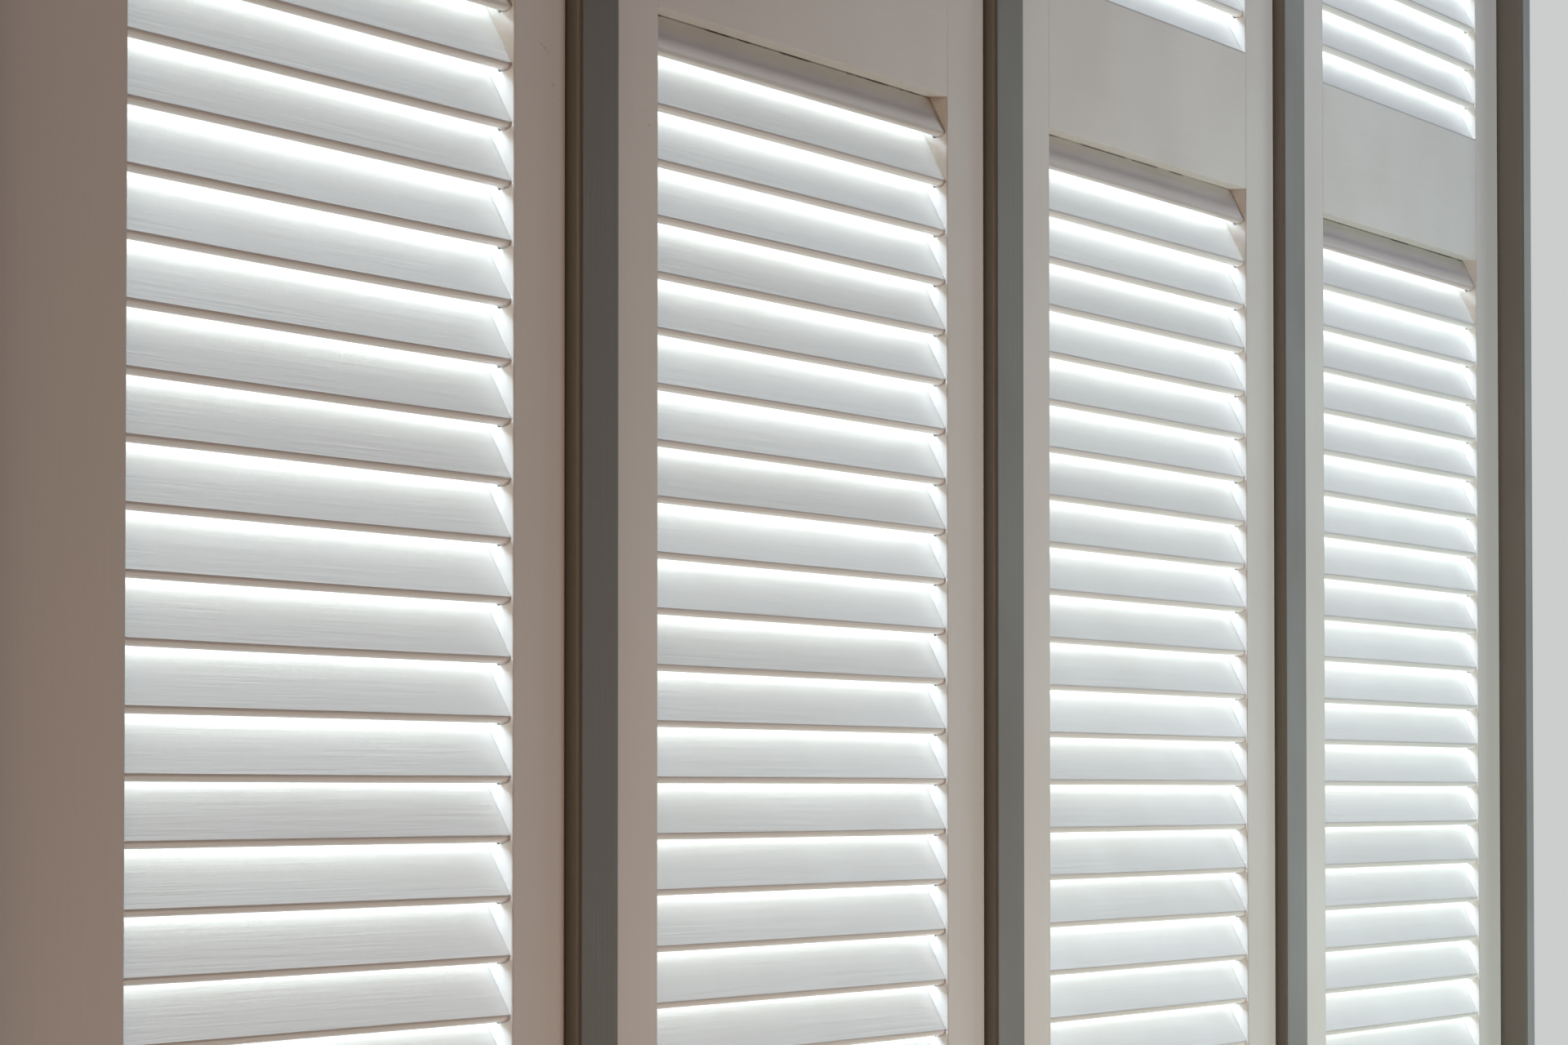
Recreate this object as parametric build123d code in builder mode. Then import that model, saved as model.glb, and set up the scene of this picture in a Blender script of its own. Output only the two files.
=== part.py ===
"""Four louvred shutter panels hung in one painted timber frame.

X runs along the shutters, Y from front to back and Z up. Y = 0 is the front face of the closed
panels, X = 0 the middle of the frame and Z = 0 the underside of the sill.
"""

import os
from math import cos, radians, sin

from build123d import *

# Panels, listed from left to right as seen from the front
opening_widths = (374.5, 404.0, 374.5, 378.5)
stile_width = 58.5
end_stile_width = 134.0
panel_thickness = 27.0
arris = 1.2

# Rails
top_rail_height = 75.0
mid_rail_height = 80.5
bottom_rail_height = 110.0
tenon_thickness = 9.0
tenon_shoulder = 15.0
mortise_end_wall = 18.0
mortise_clearance = 0.15

# Louvres, sloping down towards the front
louvre_width = 32.0
louvre_thickness = 6.3
louvre_arris = 0.8
louvre_angle = 64.0
louvre_pitch = 25.4
louvre_setback = 1.3
upper_louvre_count = 11
lower_louvre_count = 26
first_louvre_drop = 20.8
last_louvre_sink = 4.8
housing_depth = 8.0
housing_clearance = 0.25

# Frame
board_thickness = 22.0
board_proud = 17.0
post_width = 45.0
post_proud = 6.0
stop_width = 12.0
stop_depth = 12.0
stop_gap = 0.5
side_gap = 3.0
end_gap = 3.0
stub_breadth = 30.0
stub_length = 12.0
stub_shoulder = 6.0
stub_clearance = 0.15

# Holes for the fixing screws, through the jambs
fixing_radius = 2.5
fixing_count = 3
fixing_end_distance = 60.0

# Hinges, two to a panel, each with a loose round pin through a barrel in front of the stile. The
# barrels and their bores are drawn with this many flats, because there are many of them
hinge_height = 64.0
hinge_end_distance = 110.0
leaf_thickness = 1.2
leaf_depth = 19.0
barrel_radius = 3.2
barrel_clearance = 0.4
barrel_sides = 16
pin_radius = 1.6
pin_clearance = 0.05
pin_floor = 1.5
knuckle_gap = 0.4

# Catches, one to a panel, at the middle of the mid rail
magnet_width = 5.0
magnet_height = 36.0
magnet_depth = 6.0
strike_height = 44.0
strike_thickness = 1.5
catch_clearance = 0.15

# Places across the frame that follow from the sizes above
panel_count = len(opening_widths)
left_stile_widths = (end_stile_width,) + (stile_width,) * (panel_count - 1)
panel_widths = [
    left_stile + opening + stile_width
    for left_stile, opening in zip(left_stile_widths, opening_widths)
]
frame_width = (
    sum(panel_widths)
    + 2 * panel_count * side_gap
    + (panel_count - 1) * post_width
    + 2 * board_thickness
)
stop_front = panel_thickness + stop_gap
frame_back = stop_front + stop_depth
tenon_length = stile_width - mortise_end_wall
knuckle_length = (hinge_height - knuckle_gap) / 2
hinge_axis_y = -(barrel_radius + barrel_clearance)

# The box round a louvre once it is tilted
slope = radians(louvre_angle)
louvre_rise = louvre_width * sin(slope) + louvre_thickness * cos(slope)
louvre_run = louvre_width * cos(slope) + louvre_thickness * sin(slope)
louvre_y = louvre_setback + louvre_run / 2


def section_height(louvre_count):
    """Height between two rails that hold this many louvres."""
    return first_louvre_drop + (louvre_count - 1) * louvre_pitch - last_louvre_sink


# Heights that follow, from the sill up
bottom_rail_base = board_thickness + end_gap
lower_base = bottom_rail_base + bottom_rail_height
mid_rail_base = lower_base + section_height(lower_louvre_count)
upper_base = mid_rail_base + mid_rail_height
top_rail_base = upper_base + section_height(upper_louvre_count)
panel_top = top_rail_base + top_rail_height
head_base = panel_top + end_gap
frame_height = head_base + board_thickness
rails = {
    "bottom_rail": (bottom_rail_base, bottom_rail_height),
    "mid_rail": (mid_rail_base, mid_rail_height),
    "top_rail": (top_rail_base, top_rail_height),
}
hinge_bases = {
    "lower": bottom_rail_base + hinge_end_distance,
    "upper": panel_top - hinge_end_distance - hinge_height,
}
catch_z = mid_rail_base + mid_rail_height / 2


def louvre_heights(section_base, louvre_count):
    """Mid-heights of the louvres above the rail that ends at this height."""
    lowest = section_base - last_louvre_sink + louvre_rise / 2
    return [lowest + i * louvre_pitch for i in range(louvre_count)]


lower_louvres = louvre_heights(lower_base, lower_louvre_count)
upper_louvres = louvre_heights(upper_base, upper_louvre_count)


def bay_sides():
    """Left and right side of the space between frame members that each panel fills."""
    sides = []
    left = board_thickness - frame_width / 2
    for width in panel_widths:
        right = left + width + 2 * side_gap
        sides.append((left, right))
        left = right + post_width
    return sides


bays = bay_sides()
hinge_axis_xs = [left + barrel_radius + barrel_clearance for left, right in bays]
catch_xs = [right - (stop_width + side_gap) / 2 for left, right in bays]


def write(part, label):
    """Name a finished piece and write it to its file."""
    part.label = label
    export_step(part, f"parts/{label}.step")


def louvre_places(heights):
    """Tilted places for louvre sections on a plane that cuts across the panel."""
    return Locations(*[Location((louvre_y, z, 0), (0, 0, louvre_angle)) for z in heights])


def make_housing():
    """Outline of the slot that takes a louvre: its own outline with clearance all round."""
    with BuildSketch() as housing:
        Rectangle(louvre_width + 2 * housing_clearance, louvre_thickness + 2 * housing_clearance)
    return housing.sketch


def make_louvre_section():
    """Outline of a louvre, with the two arrises of its front edge taken off."""
    with BuildSketch() as section:
        Rectangle(louvre_width, louvre_thickness)
        chamfer(section.vertices().group_by(Axis.X)[0], length=louvre_arris)
    return section.sketch


housing = make_housing()
louvre_section = make_louvre_section()


def make_stile(left, width, side, strike_x=None):
    """A stile, slotted for the louvres and mortised for the rails.

    side is 1 where the opening lies to the stile's right and -1 where it lies to its left.
    strike_x is where the catch's plate is let into the back, if the stile has one.
    """
    inner_face = left + width if side > 0 else left
    with BuildPart() as stile:
        with BuildSketch(Plane.XY.offset(bottom_rail_base)) as plan:
            with Locations((left + width / 2, panel_thickness / 2)):
                Rectangle(width, panel_thickness)
            outer_corners = plan.vertices().group_by(Axis.X)[0 if side > 0 else -1]
            chamfer(outer_corners, length=arris)
        extrude(amount=panel_top - bottom_rail_base)
        with BuildSketch(Plane.YZ.offset(inner_face)):
            with louvre_places(lower_louvres + upper_louvres):
                add(housing)
        extrude(amount=-side * (housing_depth + housing_clearance), mode=Mode.SUBTRACT)
        with BuildSketch(Plane.YZ.offset(inner_face)):
            for base, height in rails.values():
                with Locations((panel_thickness / 2, base + height / 2)):
                    Rectangle(
                        tenon_thickness + 2 * mortise_clearance,
                        height - 2 * tenon_shoulder + 2 * mortise_clearance,
                    )
        extrude(amount=-side * (tenon_length + mortise_clearance), mode=Mode.SUBTRACT)
        if strike_x is not None:
            with BuildSketch(Plane.XZ.offset(-panel_thickness)):
                with Locations((strike_x, catch_z)):
                    Rectangle(magnet_width + 2 * catch_clearance, strike_height + 2 * catch_clearance)
            extrude(amount=strike_thickness, mode=Mode.SUBTRACT)
    return stile.part


def make_rail(left, right, base, height):
    """A rail between two stiles, tenoned into both and grooved for the nearest louvres."""
    middle = (panel_thickness / 2, base + height / 2)
    reach = (height + louvre_rise) / 2 + housing_clearance
    near = [z for z in lower_louvres + upper_louvres if abs(z - middle[1]) < reach]
    with BuildPart() as rail:
        with BuildSketch(Plane.YZ.offset(left)):
            with Locations(middle):
                Rectangle(panel_thickness, height)
        extrude(amount=right - left)
        with BuildSketch(Plane.YZ.offset(left)):
            with louvre_places(near):
                add(housing)
        extrude(amount=right - left, mode=Mode.SUBTRACT)
        with BuildSketch(Plane.YZ.offset(left - tenon_length)):
            with Locations(middle):
                Rectangle(tenon_thickness, height - 2 * tenon_shoulder)
        extrude(amount=right - left + 2 * tenon_length)
    return rail.part


def make_louvres(left, right, heights):
    """The louvres of one section, each a solid of its own with its ends in the stiles."""
    with BuildPart() as louvres:
        with BuildSketch(Plane.YZ.offset(left - housing_depth)):
            with louvre_places(heights):
                add(louvre_section)
        extrude(amount=right - left + 2 * housing_depth)
    return louvres.part


def make_strike_plate(x):
    """The steel plate in a panel's back that its magnet holds."""
    with BuildPart() as plate:
        with BuildSketch(Plane.XZ.offset(-panel_thickness)):
            with Locations((x, catch_z)):
                Rectangle(magnet_width, strike_height)
        extrude(amount=strike_thickness)
    return plate.part


def make_magnets(xs, clearance=0.0):
    """Magnets flush with the stops' front face, or with clearance round them, their recesses."""
    with BuildPart() as magnets:
        with BuildSketch(Plane.XZ.offset(-stop_front)):
            with Locations(*[(x, catch_z) for x in xs]):
                Rectangle(magnet_width + 2 * clearance, magnet_height + 2 * clearance)
        extrude(amount=-magnet_depth)
    return magnets.part


def make_post(left, magnet_x):
    """A post between two panels: a T in plan, its flange behind the stiles as their stop."""
    middle = left + post_width / 2
    recess = make_magnets([magnet_x], catch_clearance)
    with BuildPart() as post:
        with BuildSketch(Plane.XY.offset(board_thickness)) as plan:
            with Locations((middle, -post_proud)):
                Rectangle(post_width, post_proud + frame_back, align=(Align.CENTER, Align.MIN))
            chamfer(plan.vertices().group_by(Axis.Y)[0], length=arris)
            with Locations((middle, stop_front)):
                Rectangle(post_width + 2 * stop_width, stop_depth, align=(Align.CENTER, Align.MIN))
        extrude(amount=head_base - board_thickness)
        with BuildSketch(Plane.XY.offset(board_thickness - stub_length)):
            with Locations((middle, (frame_back - post_proud) / 2)):
                Rectangle(post_width - 2 * stub_shoulder, stub_breadth)
        extrude(amount=head_base - board_thickness + 2 * stub_length)
        add(recess, mode=Mode.SUBTRACT)
    return post.part


def make_jamb(inner_face, side, magnet_x=None):
    """An end member of the frame: an L in plan, with holes for its fixing screws.

    side is 1 for the left jamb, whose panel lies to its right, and -1 for the right jamb.
    """
    middle = inner_face - side * board_thickness / 2
    reach = frame_height - 2 * fixing_end_distance
    heights = [fixing_end_distance + reach * i / (fixing_count - 1) for i in range(fixing_count)]
    recess = None if magnet_x is None else make_magnets([magnet_x], catch_clearance)
    with BuildPart() as jamb:
        with BuildSketch(Plane.XY.offset(board_thickness)) as plan:
            with Locations((middle, -board_proud)):
                Rectangle(board_thickness, board_proud + frame_back, align=(Align.CENTER, Align.MIN))
            chamfer(plan.vertices().group_by(Axis.Y)[0], length=arris)
            with Locations((inner_face + side * stop_width / 2, stop_front)):
                Rectangle(stop_width, stop_depth, align=(Align.CENTER, Align.MIN))
        extrude(amount=head_base - board_thickness)
        with BuildSketch(Plane.XY.offset(board_thickness - stub_length)):
            with Locations((middle, (frame_back - board_proud) / 2)):
                Rectangle(board_thickness - 2 * stub_shoulder, stub_breadth)
        extrude(amount=head_base - board_thickness + 2 * stub_length)
        with Locations(
            *[Location((inner_face, panel_thickness / 2, z), (0, side * 90, 0)) for z in heights]
        ):
            Hole(fixing_radius, depth=board_thickness)
        if recess is not None:
            add(recess, mode=Mode.SUBTRACT)
    return jamb.part


def make_board(base, stop_base, stub_base):
    """The head or the sill: a board over the full width, with a stop strip across each bay."""
    post_middles = [right + post_width / 2 for left, right in bays[:-1]]
    jamb_middles = [side * (frame_width - board_thickness) / 2 for side in (-1, 1)]
    with BuildPart() as board:
        with BuildSketch(Plane.XY.offset(base)):
            with Locations((0, -board_proud)):
                Rectangle(frame_width, board_proud + frame_back, align=(Align.CENTER, Align.MIN))
        extrude(amount=board_thickness)
        chamfer(board.edges().filter_by(Axis.X).group_by(Axis.Y)[0], length=arris)
        with BuildSketch(Plane.XY.offset(stop_base)):
            for left, right in bays:
                with Locations(((left + right) / 2, stop_front + stop_depth / 2)):
                    Rectangle(right - left - 2 * stop_width, stop_depth)
        extrude(amount=stop_width)
        with BuildSketch(Plane.XY.offset(stub_base)):
            with Locations(*[(x, (frame_back - post_proud) / 2) for x in post_middles]):
                Rectangle(
                    post_width - 2 * stub_shoulder + 2 * stub_clearance,
                    stub_breadth + 2 * stub_clearance,
                )
            with Locations(*[(x, (frame_back - board_proud) / 2) for x in jamb_middles]):
                Rectangle(
                    board_thickness - 2 * stub_shoulder + 2 * stub_clearance,
                    stub_breadth + 2 * stub_clearance,
                )
        extrude(amount=stub_length + stub_clearance, mode=Mode.SUBTRACT)
    return board.part


def make_leaf(plate_left, axis_x, base, bore_floor=None):
    """A hinge leaf: a plate on the wood and half the barrel.

    bore_floor is what is left under the pin in the fixed leaf's lower knuckle. The moving leaf
    has none: it has the upper knuckle, bored through.
    """
    plate_front = barrel_clearance
    plate_x = plate_left + leaf_thickness / 2
    knuckle_base = base if bore_floor else base + knuckle_length + knuckle_gap
    with BuildPart() as leaf:
        with BuildSketch(Plane.XY.offset(base)):
            with Locations((plate_x, plate_front)):
                Rectangle(leaf_thickness, leaf_depth, align=(Align.CENTER, Align.MIN))
        extrude(amount=hinge_height)
        with BuildSketch(Plane.XY.offset(knuckle_base)):
            with Locations((axis_x, hinge_axis_y)):
                RegularPolygon(barrel_radius, barrel_sides)
            with Locations((plate_x, hinge_axis_y)):
                Rectangle(leaf_thickness, plate_front - hinge_axis_y, align=(Align.CENTER, Align.MIN))
        extrude(amount=knuckle_length)
        with BuildSketch(Plane.XY.offset(knuckle_base + (bore_floor or 0))):
            with Locations((axis_x, hinge_axis_y)):
                RegularPolygon(pin_radius + pin_clearance, barrel_sides, major_radius=False)
        extrude(amount=knuckle_length, mode=Mode.SUBTRACT)
    return leaf.part


def make_pins():
    """The hinge pins, each standing on the floor of its fixed knuckle."""
    with BuildPart() as pins:
        for base in hinge_bases.values():
            with BuildSketch(Plane.XY.offset(base + pin_floor)):
                with Locations(*[(x, hinge_axis_y) for x in hinge_axis_xs]):
                    Circle(pin_radius)
            extrude(amount=hinge_height - pin_floor)
    return pins.part


def write_panel(number, bay, left_stile_width, opening_width, axis_x, catch_x):
    """Make one panel with its moving hinge leaves and its strike plate."""
    name = f"panel_{number}"
    left = bay[0] + side_gap
    opening_left = left + left_stile_width
    opening_right = opening_left + opening_width
    write(make_stile(left, left_stile_width, 1), f"{name}_left_stile")
    write(make_stile(opening_right, stile_width, -1, catch_x), f"{name}_right_stile")
    for rail_name, (base, height) in rails.items():
        write(make_rail(opening_left, opening_right, base, height), f"{name}_{rail_name}")
    write(make_louvres(opening_left, opening_right, lower_louvres), f"{name}_lower_louvres")
    write(make_louvres(opening_left, opening_right, upper_louvres), f"{name}_upper_louvres")
    write(make_strike_plate(catch_x), f"{name}_strike_plate")
    for place, base in hinge_bases.items():
        write(make_leaf(bay[0], axis_x, base, pin_floor), f"{name}_{place}_fixed_leaf")
        write(make_leaf(left - leaf_thickness, axis_x, base), f"{name}_{place}_moving_leaf")


os.makedirs("parts", exist_ok=True)

write(make_board(head_base, head_base - stop_width, head_base), "head")
write(make_board(0, board_thickness, board_thickness - stub_length - stub_clearance), "sill")
write(make_jamb(bays[0][0], 1), "left_jamb")
write(make_jamb(bays[-1][1], -1, catch_xs[-1]), "right_jamb")
for number, (bay, magnet_x) in enumerate(zip(bays[:-1], catch_xs), 1):
    write(make_post(bay[1], magnet_x), f"post_{number}")
write(make_magnets(catch_xs), "catch_magnets")
write(make_pins(), "hinge_pins")
for number, sizes in enumerate(
    zip(bays, left_stile_widths, opening_widths, hinge_axis_xs, catch_xs), 1
):
    write_panel(number, *sizes)
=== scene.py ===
"""Looks for a run of louvred shutters: painted wood, finer slats, hinges and screws.

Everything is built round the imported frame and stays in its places. Lengths are in metres.
X runs along the shutters, Y from front to back and Z up.
"""

import logging
import math
from dataclasses import dataclass
from enum import Enum
from typing import Any, Dict, List, Optional, Sequence, Tuple, Union

import bpy
import numpy as np
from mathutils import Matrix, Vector


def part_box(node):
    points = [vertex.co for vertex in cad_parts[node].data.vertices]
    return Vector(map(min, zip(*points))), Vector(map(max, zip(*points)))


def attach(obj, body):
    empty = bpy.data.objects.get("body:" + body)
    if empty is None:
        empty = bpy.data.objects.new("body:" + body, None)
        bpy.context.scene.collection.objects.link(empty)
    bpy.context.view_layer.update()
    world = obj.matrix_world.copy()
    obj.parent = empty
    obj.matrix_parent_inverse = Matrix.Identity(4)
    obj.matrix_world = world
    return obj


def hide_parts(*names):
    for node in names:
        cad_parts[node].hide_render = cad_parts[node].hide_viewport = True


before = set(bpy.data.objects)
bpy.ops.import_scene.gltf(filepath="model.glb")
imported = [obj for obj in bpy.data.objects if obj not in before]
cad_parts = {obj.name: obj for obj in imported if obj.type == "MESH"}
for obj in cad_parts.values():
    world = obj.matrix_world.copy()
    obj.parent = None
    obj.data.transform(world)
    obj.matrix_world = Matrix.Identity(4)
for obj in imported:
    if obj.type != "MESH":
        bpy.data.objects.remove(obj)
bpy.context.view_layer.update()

logging.basicConfig(level=logging.INFO, format="%(message)s")
log = logging.getLogger("shutters")

MM = 0.001
PANELS = (1, 2, 3, 4)
SECTIONS = ("lower", "upper")
NOISE_MIDDLE = 0.5
Number = Union[int, float]
Colour = Tuple[float, float, float]
Point = Tuple[float, float, float]
Span = Tuple[float, float]


class Grain(Enum):
    """The way in which a member was brushed, as the pattern's scale along X, Y and Z."""

    UPRIGHT = (620.0, 620.0, 7.0)
    LEVEL = (7.0, 620.0, 620.0)


class Signal:
    """A node's output that is written in sums as if it were a number."""

    def __init__(self, sheet: "NodeSheet", socket: bpy.types.NodeSocket) -> None:
        """Wrap a socket of a sheet."""
        self.sheet = sheet
        self.socket = socket

    def _math(self, operation: str, *values: Union["Signal", Number]) -> "Signal":
        """Add one Math node and return its result."""
        return self.sheet.node("ShaderNodeMath", {"operation": operation}, dict(enumerate(values)))

    def __add__(self, other: Union["Signal", Number]) -> "Signal":
        """Return self + other."""
        return self._math("ADD", self, other)

    __radd__ = __add__

    def __sub__(self, other: Union["Signal", Number]) -> "Signal":
        """Return self - other."""
        return self._math("SUBTRACT", self, other)

    def __rsub__(self, other: Union["Signal", Number]) -> "Signal":
        """Return other - self."""
        return self._math("SUBTRACT", other, self)

    def __mul__(self, other: Union["Signal", Number]) -> "Signal":
        """Return self times other."""
        return self._math("MULTIPLY", self, other)

    __rmul__ = __mul__

    def larger(self, other: Union["Signal", Number]) -> "Signal":
        """Return the larger of two values."""
        return self._math("MAXIMUM", self, other)

    def smaller(self, other: Union["Signal", Number]) -> "Signal":
        """Return the smaller of two values."""
        return self._math("MINIMUM", self, other)

    def away(self, value: Number) -> "Signal":
        """Return the distance between self and a value."""
        return self._math("ABSOLUTE", self - value)

    def step(self, low: Number, high: Number) -> "Signal":
        """Return 0 below low, 1 above high and a smooth rise between them."""
        settings = {"interpolation_type": "SMOOTHSTEP"}
        values = {"Value": self, "From Min": low, "From Max": high}
        return self.sheet.node("ShaderNodeMapRange", settings, values)


class NodeSheet:
    """The node tree of one material or of the world."""

    def __init__(self, tree: bpy.types.NodeTree) -> None:
        """Empty the tree and keep it."""
        self.tree = tree
        tree.nodes.clear()

    def node(
        self,
        kind: str,
        settings: Optional[Dict[str, Any]] = None,
        values: Optional[Dict[Union[int, str], Any]] = None,
        output: Union[int, str] = 0,
    ) -> Signal:
        """Add a node.

        Args:
            kind: The node's type name.
            settings: Its properties, set before its sockets.
            values: Numbers, colours or Signals for its inputs, by name or place.
            output: The output to return.

        Returns:
            The chosen output as a Signal.
        """
        node = self.tree.nodes.new(kind)
        for name, setting in (settings or {}).items():
            setattr(node, name, setting)
        for key, value in (values or {}).items():
            socket = node.inputs[key]
            if isinstance(value, Signal):
                self.tree.links.new(value.socket, socket)
            elif isinstance(value, tuple) and len(value) == 3 and socket.type == "RGBA":
                socket.default_value = (*value, 1.0)
            else:
                socket.default_value = value
        return Signal(self, node.outputs[output] if len(node.outputs) else None)

    def mix_colour(self, factor: Signal, low: Any, high: Any) -> Signal:
        """Return low where factor is 0 and high where it is 1."""
        settings = {"data_type": "RGBA", "blend_type": "MIX"}
        return self.node("ShaderNodeMix", settings, {0: factor, 6: low, 7: high}, 2)

    def vector_math(self, operation: str, output: Union[int, str], *values: Any) -> Signal:
        """Add one Vector Math node and return the named output."""
        return self.node(
            "ShaderNodeVectorMath", {"operation": operation}, dict(enumerate(values)), output
        )

    def place(self) -> Signal:
        """Return the point on the piece, in metres."""
        return self.node("ShaderNodeTexCoord", output="Object")

    def noise(self, scales: Point, detail: Number = 2.0, shift: Number = 0.0) -> Signal:
        """Return soft noise, about 0.5 in the middle.

        Args:
            scales: How many waves a metre the noise has along X, Y and Z.
            detail: How much finer noise rides on it.
            shift: Moves the pattern, so that two of the same scale differ.

        Returns:
            The noise as a number.
        """
        values = {"Vector": self.place(), "Location": (shift, shift, shift), "Scale": scales}
        stretched = self.node("ShaderNodeMapping", {"vector_type": "POINT"}, values)
        values = {"Vector": stretched, "Scale": 1.0, "Detail": detail}
        return self.node("ShaderNodeTexNoise", {}, values)

    def arris(self, radius: Number, turned: Span = (0.01, 0.16)) -> Tuple[Signal, Signal]:
        """Soften the edges for the light, and find them.

        The mask rises with one minus the dot product of the softened normal and the face's own.

        Args:
            radius: How far an edge is rounded.
            turned: Values of that difference where the mask starts and where it is full.

        Returns:
            The softened normal, and a mask that is 1 on the edges.
        """
        rounded = self.node("ShaderNodeBevel", {"samples": 6}, {"Radius": radius})
        flat = self.node("ShaderNodeNewGeometry", output="True Normal")
        dot = self.vector_math("DOT_PRODUCT", "Value", rounded, flat)
        return rounded, (1.0 - dot).step(*turned)

    def end(self, surface: Signal, kind: str = "Material") -> None:
        """Give the finished surface to the material's or the world's output."""
        self.node(f"ShaderNodeOutput{kind}", {}, {"Surface": surface})


def blank_material(name: str) -> Tuple[bpy.types.Material, NodeSheet]:
    """Make a material with an empty node tree.

    Args:
        name: The material's name.

    Returns:
        The material and the sheet on which its nodes are laid.
    """
    made = bpy.data.materials.new(name)
    made.use_nodes = True
    return made, NodeSheet(made.node_tree)


@dataclass(frozen=True)
class Mark:
    """A small scuff or speck in the paint."""

    centre: Point
    spread: Point
    depth: float

    def mask(self, sheet: NodeSheet) -> Signal:
        """Lay the mark's mask.

        It is 1 minus the distance from the centre, measured in spreads, and never below 0. Its
        depth scales it.

        Args:
            sheet: The material's nodes.

        Returns:
            The mask, which is the mark's depth in its middle and 0 away from it.
        """
        moved = sheet.vector_math("SUBTRACT", 0, sheet.place(), self.centre)
        scaled = sheet.vector_math("DIVIDE", 0, moved, self.spread)
        length = sheet.vector_math("LENGTH", "Value", scaled)
        return (1.0 - length).larger(0.0) * self.depth


@dataclass(frozen=True)
class Paint:
    """Satin paint brushed on wood, thin and greyed on the arrises."""

    name: str
    colour: Colour
    grime: Colour
    grain: Grain
    roughness: float = 0.35
    arris: float = 0.0
    streak_depth: float = 0.09 * MM
    marks: Tuple[Mark, ...] = ()
    cracks: Tuple[float, ...] = ()
    crack_colour: Colour = (0.035, 0.026, 0.020)
    crack_width: Span = (0.3 * MM, 1.1 * MM)
    crack_scale: Point = (26.0, 26.0, 26.0)
    crack_breaks: Span = (0.47, 0.58)
    fine_scale: float = 3.1
    fine_share: float = 0.4
    patch_scale: Point = (11.0, 11.0, 11.0)
    grit_scale: Point = (1500.0, 1500.0, 1500.0)
    grit_height: float = 0.18
    streak_tone: float = 0.16
    patch_tone: float = 0.22
    all_over_tone: float = 0.12
    streak_rough: float = 0.14
    patch_rough: float = 0.16
    wear_scale: Point = (60.0, 60.0, 60.0)
    wear_breaks: Span = (0.36, 0.72)
    wear_share: float = 0.55
    wear_rough: float = 0.2
    mark_rough: float = 0.1

    def cracked(self, sheet: NodeSheet, colour: Signal) -> Signal:
        """Draw dark, broken lines at the heights where the slats meet a rail.

        Args:
            sheet: The material's nodes.
            colour: The paint's colour so far.

        Returns:
            The colour with the cracks in it.
        """
        upward = sheet.node("ShaderNodeSeparateXYZ", {}, {0: sheet.place()}, "Z")
        broken = sheet.noise(self.crack_scale, 5.0, 6.4).step(*self.crack_breaks)
        for height in self.cracks:
            near = 1.0 - upward.away(height).step(*self.crack_width)
            colour = sheet.mix_colour(near * broken, colour, self.crack_colour)
        return colour

    def material(self) -> bpy.types.Material:
        """Build the material.

        Returns:
            A material whose streaks run with the grain, in its colour, gloss and height.
        """
        made, sheet = blank_material(self.name)
        broad = sheet.noise(self.grain.value, 3.0)
        fine = sheet.noise(tuple(self.fine_scale * scale for scale in self.grain.value), 2.0, 2.2)
        streaks = broad * (1 - self.fine_share) + fine * self.fine_share
        streak = streaks - NOISE_MIDDLE
        patch = sheet.noise(self.patch_scale, 2.0, 3.7) - NOISE_MIDDLE
        grit = sheet.noise(self.grit_scale, 1.0, 1.3)
        tone = streak * self.streak_tone + patch * self.patch_tone + self.all_over_tone
        colour = sheet.mix_colour(tone.larger(0.0).smaller(1.0), self.colour, self.grime)
        rough = self.roughness + streak * self.streak_rough + patch * self.patch_rough
        height = streaks + grit * self.grit_height
        bump = {"Strength": 1.0, "Distance": self.streak_depth, "Height": height}
        if self.arris:
            bump["Normal"], edges = sheet.arris(self.arris)
            breaks = sheet.noise(self.wear_scale, 4.0, 8.1).step(*self.wear_breaks)
            worn = edges * breaks * self.wear_share
            colour = sheet.mix_colour(worn, colour, self.grime)
            rough = rough + worn * self.wear_rough
        for mark in self.marks:
            mask = mark.mask(sheet)
            colour = sheet.mix_colour(mask, colour, self.grime)
            rough = rough + mask * self.mark_rough
        if self.cracks:
            colour = self.cracked(sheet, colour)
        normal = sheet.node("ShaderNodeBump", {}, bump)
        values = {"Base Color": colour, "Roughness": rough, "Normal": normal}
        sheet.end(sheet.node("ShaderNodeBsdfPrincipled", {}, values))
        return made


@dataclass(frozen=True)
class Metal:
    """Satin metal with a fine grain and dull patches."""

    name: str
    colour: Colour
    dull: Colour
    roughness: float
    line_scale: Point = (900.0, 900.0, 90.0)
    line_depth: float = 0.03 * MM
    line_rough: float = 0.16
    patch_scale: Point = (210.0, 210.0, 210.0)
    patch_breaks: Span = (0.35, 0.8)
    patch_rough: float = 0.3

    def material(self) -> bpy.types.Material:
        """Build the material.

        Returns:
            A metal that is dull in patches and finely lined in its gloss and height.
        """
        made, sheet = blank_material(self.name)
        lines = sheet.noise(self.line_scale, 2.0)
        patches = sheet.noise(self.patch_scale, 3.0, 5.2)
        lined = (lines - NOISE_MIDDLE) * self.line_rough
        patched = (patches - NOISE_MIDDLE) * self.patch_rough
        bump = {"Strength": 1.0, "Distance": self.line_depth, "Height": lines}
        values = {
            "Base Color": sheet.mix_colour(patches.step(*self.patch_breaks), self.colour, self.dull),
            "Metallic": 1.0,
            "Roughness": self.roughness + lined + patched,
            "Normal": sheet.node("ShaderNodeBump", {}, bump),
        }
        sheet.end(sheet.node("ShaderNodeBsdfPrincipled", {}, values))
        return made


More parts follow.
